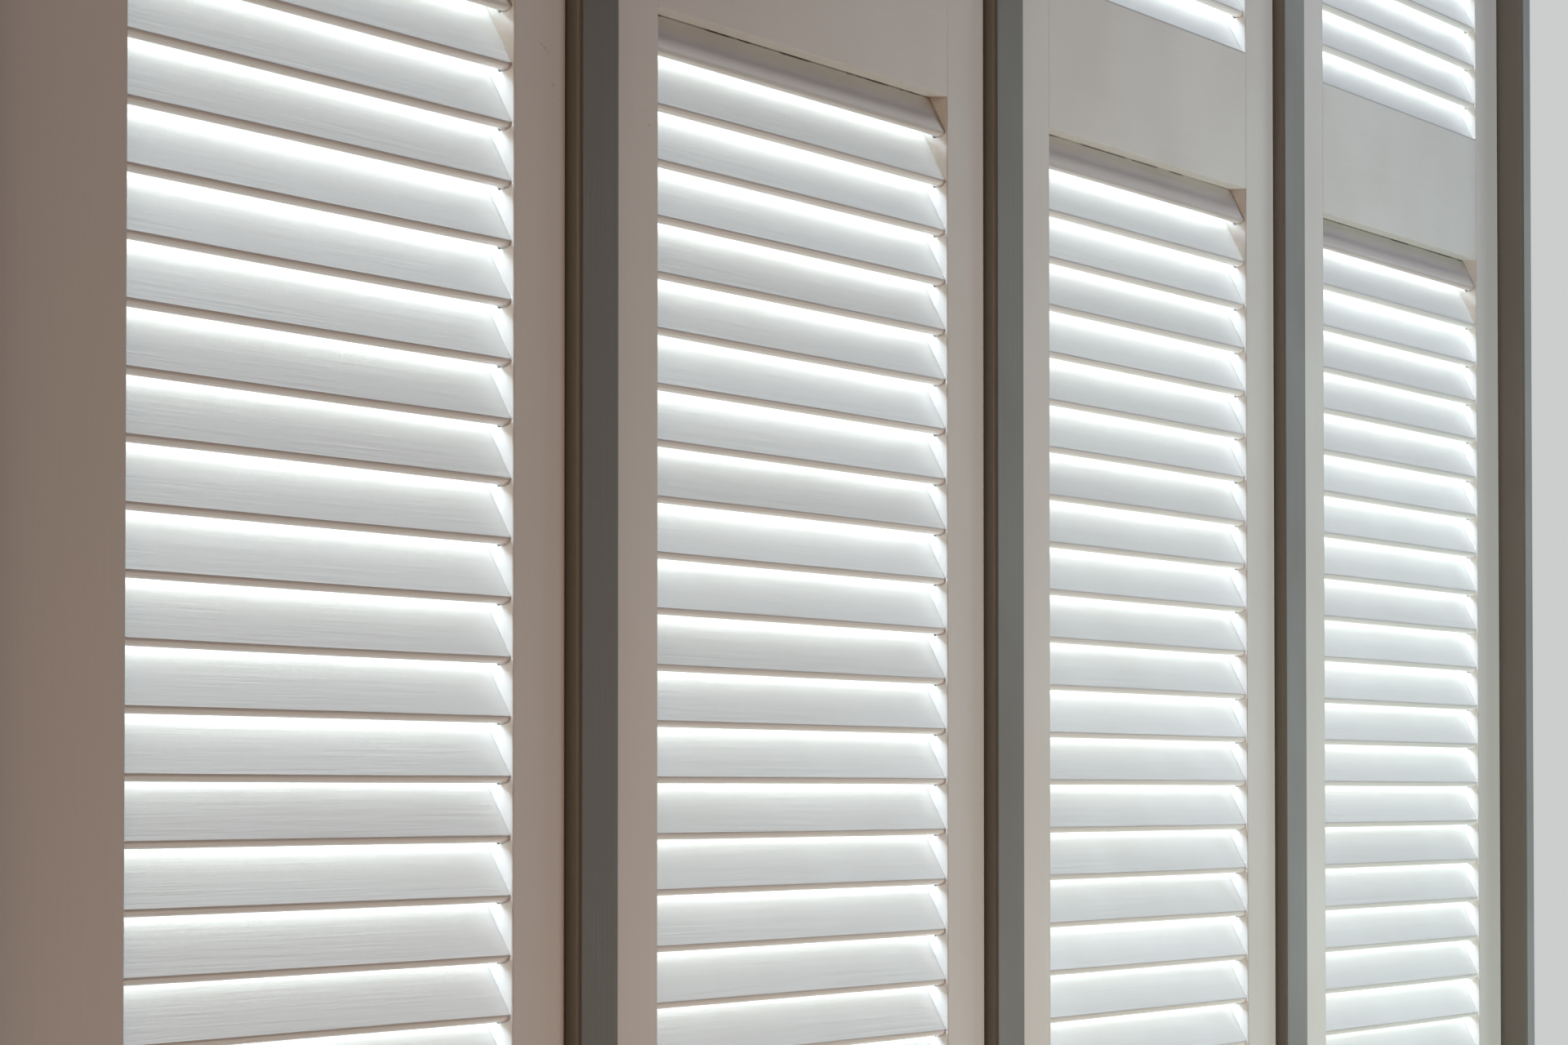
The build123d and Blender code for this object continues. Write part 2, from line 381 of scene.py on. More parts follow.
WHITE = (0.79, 0.785, 0.765)
WHITE_GRIME = (0.47, 0.42, 0.36)
TAUPE = (0.165, 0.158, 0.140)
TAUPE_GRIME = (0.085, 0.074, 0.060)
STILE_MARKS = (
    Mark((-0.5752, 0.0, 0.7546), (0.0028, 0.004, 0.0011), 0.5),
    Mark((-0.5715, 0.0, 0.7532), (0.0030, 0.004, 0.0011), 0.7),
    Mark((-0.5682, 0.0, 0.7519), (0.0024, 0.004, 0.0010), 0.5),
    Mark((-0.5686, 0.0, 0.7604), (0.0018, 0.004, 0.0006), 0.35),
    Mark((-0.5620, 0.0, 0.7382), (0.0034, 0.004, 0.0014), 0.45),
    Mark((-0.5560, 0.0, 0.7323), (0.0012, 0.004, 0.0007), 0.6),
    Mark((-0.4485, 0.0, 0.7315), (0.0016, 0.004, 0.0008), 0.8),
    Mark((-0.4520, 0.0, 0.7377), (0.0022, 0.004, 0.0006), 0.35),
    Mark((-0.4685, 0.0, 0.7380), (0.0022, 0.004, 0.0006), 0.3),
)


@dataclass
class Shell:
    """Points, their normals and faces, before they become a mesh.

    Corners lists the numbers of the points face after face. Counts says how many each face has.
    """

    points: np.ndarray
    normals: np.ndarray
    corners: np.ndarray
    counts: np.ndarray

    @staticmethod
    def grid(points: np.ndarray, normals: np.ndarray, close: Tuple[bool, bool]) -> "Shell":
        """Join a grid of points with four-sided faces.

        Args:
            points: Array of rows by columns by 3.
            normals: Array of the same shape.
            close: Whether the last row joins the first, and the last column the first.

        Returns:
            The shell. Face (i, j) has corners (i, j), (i, j + 1), (i + 1, j + 1), (i + 1, j).
        """
        rows, columns = points.shape[:2]
        i = np.arange(rows if close[0] else rows - 1)[:, None]
        j = np.arange(columns if close[1] else columns - 1)[None, :]
        i_next, j_next = (i + 1) % rows, (j + 1) % columns
        quads = np.stack(
            [i * columns + j, i * columns + j_next, i_next * columns + j_next, i_next * columns + j],
            axis=-1,
        )
        counts = np.full(quads.shape[0] * quads.shape[1], 4)
        return Shell(points.reshape(-1, 3), normals.reshape(-1, 3), quads.reshape(-1), counts)

    @staticmethod
    def joined(shells: Sequence["Shell"]) -> "Shell":
        """Put several shells in one.

        Args:
            shells: The shells, each of which keeps its own points.

        Returns:
            One shell, where each shell's corners are raised by the points that come before it.
        """
        starts = np.cumsum([0] + [len(shell.points) for shell in shells])
        return Shell(
            np.concatenate([shell.points for shell in shells]),
            np.concatenate([shell.normals for shell in shells]),
            np.concatenate([shell.corners + start for shell, start in zip(shells, starts)]),
            np.concatenate([shell.counts for shell in shells]),
        )

    @staticmethod
    def lathe(profile: np.ndarray, centre: Point, turns: int) -> "Shell":
        """Turn a closed outline about an upright line.

        A point (r, z) of the outline goes to centre + (r cos a, r sin a, z) at each angle a.

        Args:
            profile: Array of radius and height, anticlockwise as seen with z up and r to the right.
            centre: A point of the line.
            turns: Faces round the line.

        Returns:
            The closed ring.
        """
        angle = np.arange(turns)[:, None] * 2 * math.pi / turns
        radius, height = profile[:, 0][None, :], profile[:, 1][None, :]
        points = np.stack(
            [radius * np.cos(angle), radius * np.sin(angle), np.broadcast_to(height, (turns, len(profile)))],
            axis=-1,
        )
        return Shell.grid(points + np.array(centre), np.zeros_like(points), (True, True)).flipped()

    @staticmethod
    def prism(outline: np.ndarray, low: float, high: float, axes: str) -> "Shell":
        """Pull a flat outline straight out and close both ends.

        Args:
            outline: Array of points, anticlockwise as seen from the high end.
            low: Start along the third axis.
            high: End along the third axis.
            axes: The outline's two axes and the third one, in cyclic order, such as "yzx".

        Returns:
            The closed prism.
        """
        count = len(outline)
        ends = np.array([low, high])[:, None]
        flat = np.broadcast_to(outline[None, :, :], (2, count, 2))
        columns = [flat[..., 0], flat[..., 1], np.broadcast_to(ends, (2, count))]
        points = np.stack([columns[axes.index(axis)] for axis in "xyz"], axis=-1)
        made = Shell.grid(points, np.zeros_like(points), (False, True))
        return made.capped(np.arange(count)[::-1], np.arange(count, 2 * count))

    def capped(self, *caps: np.ndarray) -> "Shell":
        """Return the shell with one more face for each list of corners."""
        counts = [len(cap) for cap in caps]
        return Shell(
            self.points,
            self.normals,
            np.concatenate([self.corners, *caps]),
            np.concatenate([self.counts, counts]),
        )

    def flipped(self) -> "Shell":
        """Return the shell with all faces turned the other way, read from the end to the start."""
        return Shell(self.points, self.normals, self.corners[::-1], self.counts[::-1])

    def build(
        self, name: str, material: bpy.types.Material, crease: Optional[float] = None
    ) -> bpy.types.Object:
        """Make a mesh object at the world's origin.

        Args:
            name: The piece's name.
            material: Its finish.
            crease: Edges that turn by more than this angle stay sharp. Without it the shell's own
                normals are used.

        Returns:
            The object, in the scene.
        """
        mesh = bpy.data.meshes.new(name)
        mesh.vertices.add(len(self.points))
        mesh.vertices.foreach_set("co", self.points.astype(np.float32).ravel())
        mesh.loops.add(len(self.corners))
        mesh.loops.foreach_set("vertex_index", self.corners.astype(np.int32))
        mesh.polygons.add(len(self.counts))
        starts = np.cumsum(self.counts) - self.counts
        mesh.polygons.foreach_set("loop_start", starts.astype(np.int32))
        mesh.polygons.foreach_set("use_smooth", np.ones(len(self.counts), bool))
        mesh.update(calc_edges=True)
        if crease is None:
            mesh.normals_split_custom_set_from_vertices(self.normals.tolist())
        else:
            mesh.set_sharp_from_angle(angle=crease)
        mesh.materials.append(material)
        mesh.update()
        made = bpy.data.objects.new(name, mesh)
        bpy.context.scene.collection.objects.link(made)
        return made


def rounded_outline(
    width: float, height: float, radii: Sequence[float], steps: int
) -> Tuple[np.ndarray, np.ndarray]:
    """Points and normals round a rectangle with rounded corners, anticlockwise.

    Corner k has its centre a radius in from both sides. Its points are that centre plus the
    radius times (cos a, sin a), with a running over the corner's quarter turn.

    Args:
        width: Size along the first axis.
        height: Size along the second axis.
        radii: Radius of the corners at (+, +), (-, +), (-, -) and (+, -).
        steps: Faces round each corner.

    Returns:
        Two arrays of shape (4 * (steps + 1), 2).
    """
    radius = np.asarray(radii, float)[:, None]
    signs = np.array([[1, 1], [-1, 1], [-1, -1], [1, -1]], float)
    centres = signs * (np.array([width, height]) / 2 - radius)
    turn = np.arange(4)[:, None] * math.pi / 2 + np.linspace(0, math.pi / 2, steps + 1)[None, :]
    normals = np.stack([np.cos(turn), np.sin(turn)], axis=-1)
    points = centres[:, None, :] + radius[:, None, :] * normals
    return points.reshape(-1, 2), normals.reshape(-1, 2)


@dataclass
class LouvreBank:
    """The slats of one section of a panel, each a little out of true as hand-set slats are."""

    panel: int
    section: str
    material: bpy.types.Material
    width: float = 32.0 * MM
    thickness: float = 6.3 * MM
    slope: float = math.radians(64.0)
    pitch: float = 25.4 * MM
    nose_radius: float = 1.9 * MM
    nose_under: float = 3.6 * MM
    nose_reach: float = 1.0 * MM
    back_arris: float = 0.8 * MM
    corner_steps: int = 5
    inner_stations: int = 3
    stray_height: float = 0.1 * MM
    stray_slope: float = math.radians(0.35)
    bow: float = 0.35 * MM
    paint_reach: Tuple[float, ...] = (0.0, 0.3 * MM, 0.9 * MM)
    paint_swell: Tuple[float, ...] = (0.5 * MM, 0.15 * MM, 0.0)

    @property
    def node(self) -> str:
        """Name of the CAD node that the slats stand for."""
        return f"panel_{self.panel}_{self.section}_louvres"

    def stations(self) -> Tuple[np.ndarray, np.ndarray]:
        """Find where along X a slat's outline is set, and how much it swells there.

        Paint fills the corner where a slat enters a stile, so the outline grows towards it.

        Returns:
            The places along X and the swell at each.
        """
        low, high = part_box(self.node)
        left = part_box(f"panel_{self.panel}_left_stile")[1].x
        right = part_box(f"panel_{self.panel}_right_stile")[0].x
        reach, swell = np.array(self.paint_reach), np.array(self.paint_swell)
        inner = np.linspace(left, right, self.inner_stations + 2)[1:-1]
        places = np.concatenate([[low.x], left + reach, inner, (right - reach)[::-1], [high.x]])
        swells = np.concatenate([[0.0], swell, np.zeros_like(inner), swell[::-1], [0.0]])
        return places, swells

    def shells(self) -> List[Shell]:
        """Work out the slats.

        A slat is an outline with a round nose, swept along X. Its middle bows out along its own
        thickness by a parabola, and its slope and height are off by small random amounts. With w
        along the width and t along the thickness, y = w cos a - t sin a and z = w sin a + t cos a.

        Returns:
            One shell a slat, from the lowest up.
        """
        low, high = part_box(self.node)
        count = round((high.z - low.z) / self.pitch)
        random = np.random.default_rng(100 * self.panel + len(self.section))
        outline, outward = rounded_outline(
            self.width + self.nose_reach,
            self.thickness,
            (self.back_arris, self.nose_radius, self.nose_under, self.back_arris),
            self.corner_steps,
        )
        outline = outline - (self.nose_reach / 2, 0.0)
        xs, swells = self.stations()
        along = (2 * xs - low.x - high.x) / (high.x - low.x)
        steps = np.arange(count) - (count - 1) / 2
        heights = (low.z + high.z) / 2 + steps * self.pitch
        heights = heights + random.uniform(-1, 1, count) * self.stray_height
        slopes = self.slope + random.uniform(-1, 1, count) * self.stray_slope
        bows = random.uniform(-1, 1, count) * self.bow
        swollen = outline[None, :, :] + outward[None, :, :] * swells[:, None, None]
        w = swollen[None, :, :, 0]
        t = swollen[None, :, :, 1] + bows[:, None, None] * (1 - along**2)[None, :, None]
        cos_a, sin_a = np.cos(slopes)[:, None, None], np.sin(slopes)[:, None, None]
        y = (low.y + high.y) / 2 + w * cos_a - t * sin_a
        z = heights[:, None, None] + w * sin_a + t * cos_a
        x = np.broadcast_to(xs[None, :, None], y.shape)
        points = np.stack([x, y, z], axis=-1)
        nw, nt = outward[:, 0][None, None, :], outward[:, 1][None, None, :]
        ny = np.broadcast_to(nw * cos_a - nt * sin_a, y.shape)
        nz = np.broadcast_to(nw * sin_a + nt * cos_a, y.shape)
        normals = np.stack([np.zeros_like(ny), ny, nz], axis=-1)
        first = np.arange(len(outline))
        last = first + (len(xs) - 1) * len(outline)
        return [
            Shell.grid(slat_points, slat_normals, (False, True)).capped(first[::-1], last)
            for slat_points, slat_normals in zip(points, normals)
        ]

    def build(self) -> List[bpy.types.Object]:
        """Make the slats in the CAD node's place.

        Returns:
            The slat under the rail, which the rail shades, and all the others in one.
        """
        shells = self.shells()
        pieces = []
        for name, shell in (("top_slat", shells[-1]), ("slats", Shell.joined(shells[:-1]))):
            made = shell.build(f"{name}_{self.panel}_{self.section}", self.material)
            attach(made, f"panel_{self.panel}")
            pieces.append(made)
        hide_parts(self.node)
        return pieces


@dataclass
class HingeLeaf:
    """One leaf of a hinge: a plate with rounded corners, a rolled knuckle and three screws."""

    panel: int
    section: str
    moving: bool
    knuckle_radius: float = 3.2 * MM
    bore_radius: float = 1.65 * MM
    knuckle_gap: float = 0.4 * MM
    rim: float = 0.45 * MM
    rim_steps: int = 3
    turns: int = 40
    corner: float = 3.0 * MM
    corner_steps: int = 5
    plate_front: float = 0.4 * MM
    plate_thickness: float = 1.2 * MM
    moving_offset: float = 0.6 * MM
    fixed_offset: float = 2.4 * MM
    screw_radius: float = 2.9 * MM
    screw_rise: float = 0.26 * MM
    screw_heights: Tuple[float, ...] = (0.17, 0.5, 0.83)
    screw_depths: Tuple[float, ...] = (0.42, 0.68, 0.42)
    screw_rings: Tuple[float, ...] = (0.06, 0.14, 0.22, 0.32, 0.44, 0.56, 0.64, 0.8, 0.93, 1.0)
    screw_turns: int = 48
    cross_half: float = 0.17
    cross_slope: float = 0.06
    cross_reach: float = 0.6
    cross_depth: float = 0.88

    @property
    def name(self) -> str:
        """What the leaf's pieces are called, without the last word."""
        return f"panel_{self.panel}_{self.section}_{'moving' if self.moving else 'fixed'}"

    @property
    def node(self) -> str:
        """Name of the CAD node that the leaf stands for."""
        return f"{self.name}_leaf"

    @property
    def body(self) -> str:
        """Name of the body that carries the leaf."""
        return f"panel_{self.panel}" if self.moving else "frame"

    @property
    def axis(self) -> Tuple[float, float]:
        """The pin's place in plan, worked out from the CAD leaf's box."""
        low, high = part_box(self.node)
        return high.x - self.knuckle_radius, low.y + self.knuckle_radius

    @property
    def plate(self) -> Tuple[float, float]:
        """Left and right side of the plate."""
        right = self.axis[0] - (self.moving_offset if self.moving else self.fixed_offset)
        return right - self.plate_thickness, right

    def shell(self) -> Shell:
        """Work out the plate, the strip that leads from it to the knuckle, and the knuckle.

        Returns:
            The three closed forms in one shell.
        """
        low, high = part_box(self.node)
        left, right = self.plate
        x, y = self.axis
        length = (high.z - low.z - self.knuckle_gap) / 2
        middle = high.z - length / 2 if self.moving else low.z + length / 2
        depth, height = high.y - self.plate_front, high.z - low.z
        radii = (self.corner, self.rim, self.rim, self.corner)
        outline, _ = rounded_outline(depth, height, radii, self.corner_steps)
        outline = outline + ((high.y + self.plate_front) / 2, (low.z + high.z) / 2)
        plate = Shell.prism(outline, left, right, "yzx")
        strip = np.array([(left, y), (right, y), (right, self.plate_front), (left, self.plate_front)])
        bent = Shell.prism(strip, middle - length / 2, middle + length / 2, "xyz")
        wall = self.knuckle_radius - self.bore_radius
        rims = (self.rim, self.rim / 3, self.rim / 3, self.rim)
        ring, _ = rounded_outline(wall, length, rims, self.rim_steps)
        ring = ring + (self.bore_radius + wall / 2, 0.0)
        return Shell.joined([plate, bent, Shell.lathe(ring, (x, y, middle), self.turns)])

    def screw_places(self) -> np.ndarray:
        """Find the middles of the screw heads, of which the middle one is set back.

        Returns:
            Array of three points on the plate's outer face.
        """
        low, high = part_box(self.node)
        heights = low.z + (high.z - low.z) * np.array(self.screw_heights)
        depths = self.plate_front + (high.y - self.plate_front) * np.array(self.screw_depths)
        side = self.plate[0] if self.moving else self.plate[1]
        return np.stack([np.full_like(heights, side), depths, heights], axis=-1)

    def screws(self, random: np.random.Generator) -> Shell:
        """Work out the screw heads as low domes with a cross pressed in.

        At radius r and angle a a head's height is rise * sqrt(1 - (r / R)^2). It falls towards
        the plate where the smaller of |r cos a| and |r sin a| is under the cross's half width and
        r is inside its reach.

        Args:
            random: Draws how far each screw is turned.

        Returns:
            The heads in one shell.
        """
        radius = self.screw_radius * np.array(self.screw_rings)
        angle = np.arange(self.screw_turns) * 2 * math.pi / self.screw_turns
        r, a = np.meshgrid(radius, angle, indexing="ij")
        narrow = np.minimum(abs(r * np.cos(a)), abs(r * np.sin(a))) / self.screw_radius
        cross = np.clip((self.cross_half - narrow) / self.cross_slope, 0, 1)
        cross = cross * (r < self.cross_reach * self.screw_radius)
        dome = self.screw_rise * np.sqrt(np.clip(1 - (r / self.screw_radius) ** 2, 0, 1))
        height = dome - self.cross_depth * dome * cross
        outward = -1.0 if self.moving else 1.0
        places = self.screw_places()
        heads = []
        for place, turn in zip(places, random.uniform(0, math.pi / 2, len(places))):
            across, up = r * np.cos(a + turn), r * np.sin(a + turn)
            points = np.stack([outward * height, outward * across, up], axis=-1) + place
            head = Shell.grid(points, np.zeros_like(points), (False, True))
            heads.append(head.capped(np.arange(self.screw_turns)[::-1]))
        return Shell.joined(heads)


@dataclass
class HingeSet:
    """All the hinges: leaves in place of the plain ones, their screws and the heads of the pins."""

    material: bpy.types.Material
    crease: float = math.radians(40.0)
    head_radius: float = 2.4 * MM
    head_height: float = 0.9 * MM
    head_bore: float = 0.1 * MM
    head_crown: float = 0.7
    head_steps: int = 4
    head_turns: int = 32

    def leaves(self, moving: bool) -> List[HingeLeaf]:
        """List one side's leaves."""
        return [HingeLeaf(panel, section, moving) for panel in PANELS for section in SECTIONS]

    def finished(self, shell: Shell, name: str, body: str) -> bpy.types.Object:
        """Make a steel piece that goes with a body.

        Args:
            shell: Its form.
            name: Its name.
            body: The body that carries it.

        Returns:
            The piece.
        """
        made = shell.build(name, self.material, self.crease)
        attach(made, body)
        return made

    def pin_heads(self) -> Shell:
        """Work out low round heads on the pins, each a small closed ring about its pin's end.

        Returns:
            The heads in one shell.
        """
        radii = (self.head_height * self.head_crown, self.head_bore / 4, self.head_bore / 4, self.head_bore)
        width = self.head_radius - self.head_bore
        ring, _ = rounded_outline(width, self.head_height, radii, self.head_steps)
        ring = ring + (self.head_bore + width / 2, self.head_height / 2)
        return Shell.joined(
            [
                Shell.lathe(ring, (*leaf.axis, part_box(leaf.node)[1].z), self.head_turns)
                for leaf in self.leaves(True)
            ]
        )

    def build(self) -> List[bpy.types.Object]:
        """Make every leaf and screw and put the leaves in the CAD nodes' places.

        Returns:
            The pin heads, then each leaf with its screws.
        """
        random = np.random.default_rng(7)
        pieces = [self.finished(self.pin_heads(), "pin_heads", "frame")]
        for leaf in [*self.leaves(False), *self.leaves(True)]:
            made = self.finished(leaf.shell(), f"{leaf.name}_hinge_leaf", leaf.body)
            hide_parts(leaf.node)
            pieces += [made, self.finished(leaf.screws(random), f"{leaf.name}_screws", leaf.body)]
        return pieces


@dataclass
class Joinery:
    """The stiles, rails, frame members, pins and catches, which keep their CAD shapes."""

    finishes: Dict[str, bpy.types.Material]

    @staticmethod
    def look(node: str) -> str:
        """Choose a finish.

        Args:
            node: Name of a CAD node.

        Returns:
            The finish's name.
        """
        if node.endswith("stile"):
            return "upright"
        if node.endswith("rail"):
            return "level"
        if node.startswith("post") or node.endswith("jamb"):
            return "post"
        if node in ("head", "sill"):
            return "board"
        return "magnet" if node == "catch_magnets" else "steel"

    def build(self) -> List[bpy.types.Object]:
        """Give each node that has no finer piece its finish.

        Returns:
            The dressed nodes.
        """
        pieces = []
        for node in sorted(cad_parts):
            if node.endswith(("louvres", "leaf")):
                continue
            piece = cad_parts[node]
            piece.data.materials.clear()
            piece.data.materials.append(self.finishes[self.look(node)])
            pieces.append(piece)
        return pieces


def group(name: str, pieces: Sequence[bpy.types.Object]) -> bpy.types.Collection:
    """Put pieces in a collection that lamps can be linked to.

    Args:
        name: The collection's name.
        pieces: Its members.

    Returns:
        The collection.
    """
    made = bpy.data.collections.new(name)
    for piece in pieces:
        made.objects.link(piece)
    return made


@dataclass(frozen=True)
class Lamp:
    """A soft lamp. Its light is a colour, where 1 is the radiance that shows as white."""

    name: str
    light: Colour

    def hang(self, kind: str, strength: float) -> bpy.types.Object:
        """Make a lamp of this kind and put it in the scene.

        Args:
            kind: Blender's name for the kind of lamp.
            strength: Energy that a light of 1 asks for.

        Returns:
            The lamp's object, still at the origin.
        """
        level = max(self.light)
        lamp = bpy.data.lights.new(self.name, kind)
        lamp.energy = level * strength
        lamp.color = tuple(part / level for part in self.light)
        made = bpy.data.objects.new(self.name, lamp)
        bpy.context.scene.collection.objects.link(made)
        return made


@dataclass(frozen=True)
class PanelLamp(Lamp):
    """A rectangular lamp in the room, which doesn't show in the picture.

    Where shaded is set, the slats right under the rails are kept out of its light.
    """

    place: Point
    aim: Point
    size: Tuple[float, float]
    shaded: bool = False

    def build(self) -> bpy.types.Object:
        """Hang it in its place, facing its aim."""
        made = self.hang("AREA", math.pi * self.size[0] * self.size[1])
        made.data.shape = "RECTANGLE"
        made.data.size, made.data.size_y = self.size
        made.location = self.place
        made.rotation_euler = (Vector(self.aim) - Vector(self.place)).to_track_quat("-Z", "Y").to_euler()
        made.visible_camera = False
        return made


@dataclass(frozen=True)
class SkyLamp(Lamp):
    """A patch of sky. Its light is what a white face square to it shows."""

    towards: Point
    spread: float

    def build(self) -> bpy.types.Object:
        """Hang it far away in its direction."""
        made = self.hang("SUN", math.pi)
        made.data.angle = self.spread
        made.rotation_euler = Vector(self.towards).to_track_quat("Z", "Y").to_euler()
        return made


def over_back(lean: float, height: float) -> Point:
    """Find the direction to the sky behind the shutters.

    Args:
        lean: Run along X for one unit up and back.
        height: Angle above level as seen along X, in degrees.

    Returns:
        The direction, of any length.
    """
    return lean, math.cos(math.radians(height)), math.sin(math.radians(height))


def stage_sheet(name: str, corners: Sequence[Point], material: bpy.types.Material) -> bpy.types.Object:
    """Make one four-sided face that belongs to the stage.

    Args:
        name: Its name.
        corners: Its corners, anticlockwise as seen from its front.
        material: Its finish.

    Returns:
        The sheet, in the scene.
    """
    mesh = bpy.data.meshes.new(name)
    mesh.from_pydata(corners, [], [(0, 1, 2, 3)])
    mesh.materials.append(material)
    made = bpy.data.objects.new(name, mesh)
    bpy.context.scene.collection.objects.link(made)
    return made


@dataclass
class Studio:
    """Floor, backdrop, daylight from behind and soft light from the front."""

    backdrop: Colour = (0.60, 0.615, 0.61)
    floor_size: float = 60.0
    floor_colour: Colour = (0.15, 0.125, 0.105)
    floor_seen: Colour = (0.85, 0.85, 0.84)
    floor_fade: float = 0.45
    near: float = 1.4
    far: float = 5.0
    flag_front: float = -0.012
    flag_heights: Span = (-0.1, 4.0)
    flag_half: float = 3.0
    flag_colour: Colour = (0.1, 0.1, 0.1)
    room: Colour = (0.034, 0.019, 0.012)
    sky: Colour = (0.25, 0.27, 0.28)
    dusk: Span = (-0.15, 0.35)
    room_lamps: Tuple[PanelLamp, ...] = (
        PanelLamp("left_end", (3.8, 2.75, 1.95), (-4.6, -1.1, 1.0), (0, 0, 0.6), (1.6, 2.2)),
        PanelLamp("low_left", (1.0, 0.48, 0.38), (-0.65, -1.1, -0.5), (-0.6, 0, 0.5), (1.0, 0.8), True),
        PanelLamp("low_middle", (1.95, 1.05, 0.75), (0.2, -0.9, -0.4), (0.1, 0, 0.5), (0.8, 0.8), True),
        PanelLamp("low_right", (4.9, 6.1, 5.6), (0.8, -0.9, -0.4), (0.7, 0, 0.5), (0.8, 0.8), True),
        PanelLamp("high_right", (1.2, 1.3, 1.7), (0.8, -0.9, 1.5), (0.7, 0, 0.5), (0.8, 0.8)),
        PanelLamp("right_end", (0.95, 1.12, 1.18), (2.9, -0.62, 0.5), (0.6, 0, 0.5), (0.6, 1.6)),
    )
    sky_slats: SkyLamp = SkyLamp("sky_slats", (8.0, 9.4, 10.1), over_back(0.0, 67), math.radians(4))
    sky_low: SkyLamp = SkyLamp("sky_low", (3.5, 3.9, 4.1), over_back(0.0, 22), math.radians(22))
    sky_stiles: SkyLamp = SkyLamp("sky_stiles", (1.1, 1.4, 1.7), over_back(-0.9, 67.5), math.radians(12))
    sky_sides: SkyLamp = SkyLamp("sky_sides", (1.15, 1.4, 1.6), over_back(-0.9, 50), math.radians(20))
    sky_all: SkyLamp = SkyLamp("sky_all", (0.5, 0.52, 0.53), over_back(-0.45, 70), math.radians(12))
    overhead: SkyLamp = SkyLamp("overhead", (0.6, 0.6, 0.57), (0.35, -0.2, 0.92), math.radians(24))
    bounce: SkyLamp = SkyLamp("bounce", (0.3, 0.26, 0.22), (0.1, -0.42, -0.9), math.radians(24))
    key: SkyLamp = SkyLamp("key", (0.45, 0.45, 0.44), (-0.35, -0.45, 0.82), math.radians(14))

    def floor(self) -> bpy.types.Object:
        """Lay a floor that fades into the backdrop with the distance from the middle.

        Returns:
            The floor.
        """
        material, sheet = blank_material("floor")
        distance = sheet.vector_math("LENGTH", "Value", sheet.place())
        faded = self.floor_fade + (1 - self.floor_fade) * distance.step(self.near, self.far)
        seen = sheet.node("ShaderNodeLightPath", output="Is Camera Ray")
        tint = sheet.mix_colour(seen, self.floor_colour, self.floor_seen)
        matt = sheet.node("ShaderNodeBsdfDiffuse", {}, {"Color": tint})
        plain = sheet.node("ShaderNodeEmission", {}, {"Color": self.backdrop, "Strength": 1.0})
        sheet.end(sheet.node("ShaderNodeMixShader", {}, {0: faded * seen, 1: matt, 2: plain}))
        half = self.floor_size
        corners = [(-half, -half, 0), (half, -half, 0), (half, half, 0), (-half, half, 0)]
        return stage_sheet("floor", corners, material)

    def flag(self) -> bpy.types.Object:
        """Hang a sheet just in front of the closed panels that nothing but a lamp can meet.

        It keeps the slats' daylight, which comes down from behind, off panels that are open.

        Returns:
            The sheet.
        """
        material, sheet = blank_material("flag")
        sheet.end(sheet.node("ShaderNodeBsdfDiffuse", {}, {"Color": self.flag_colour}))
        front, half, (foot, top) = self.flag_front, self.flag_half, self.flag_heights
        corners = [(-half, front, foot), (half, front, foot), (half, front, top), (-half, front, top)]
        made = stage_sheet("flag", corners, material)
        made.visible_camera = made.visible_diffuse = made.visible_glossy = False
        made.visible_transmission = made.visible_volume_scatter = False
        return made

    def world(self) -> None:
        """Fill the room: cool daylight from the back, a dim warm room at the front."""
        world = bpy.data.worlds.new("room")
        bpy.context.scene.world = world
        world.cycles.sampling_method = "NONE"
        world.use_nodes = True
        sheet = NodeSheet(world.node_tree)
        direction = sheet.node("ShaderNodeTexCoord", output="Generated")
        depth = sheet.node("ShaderNodeSeparateXYZ", {}, {0: direction}, "Y")
        light = sheet.mix_colour(depth.step(*self.dusk), self.room, self.sky)
        seen = sheet.node("ShaderNodeLightPath", output="Is Camera Ray")
        clear = sheet.node("ShaderNodeLightPath", output="Is Transmission Ray")
        shown = sheet.mix_colour(seen.larger(clear), light, self.backdrop)
        sheet.end(sheet.node("ShaderNodeBackground", {}, {"Color": shown, "Strength": 1.0}), "World")

    def build(self, slats: Sequence[bpy.types.Object], others: Sequence[bpy.types.Object]) -> None:
        """Set up floor, room and lamps.

        Each patch of sky lights only the pieces that it is meant for. The flag casts a shadow for
        the slats' and the stiles' sky alone.

        Args:
            slats: All louvres, with the slat under each rail as a piece of its own.
            others: All other pieces of the object.
        """
        floor, flag = self.floor(), self.flag()
        self.world()
        top = [piece for piece in slats if piece.name.startswith("top")]
        lower = [piece for piece in slats if piece not in top]
        stiles = group("stiles", [piece for piece in others if piece.name.endswith("right_stile")])
        pieces = group("pieces", [*slats, *others])
        unshaded = group("unshaded", [*lower, *others])
        top_slats, lower_slats = group("top_slats", top), group("lower_slats", lower)
        flagged = group("flagged", [*slats, *others, flag])
        lit = (
            *((lamp, unshaded if lamp.shaded else pieces, pieces) for lamp in self.room_lamps),
            (self.sky_slats, lower_slats, group("flagged_slats", [*slats, flag])),
            (self.sky_low, group("all_slats", slats), flagged),
            (self.sky_stiles, stiles, flagged),
            (self.sky_sides, stiles, flagged),
            (self.sky_all, pieces, pieces),
            (self.overhead, top_slats, pieces),
            (self.bounce, top_slats, pieces),
            (self.key, group("floor_alone", [floor]), pieces),
        )
        for lamp, receivers, blockers in lit:
            made = lamp.build()
            made.light_linking.receiver_collection = receivers
            made.light_linking.blocker_collection = blockers


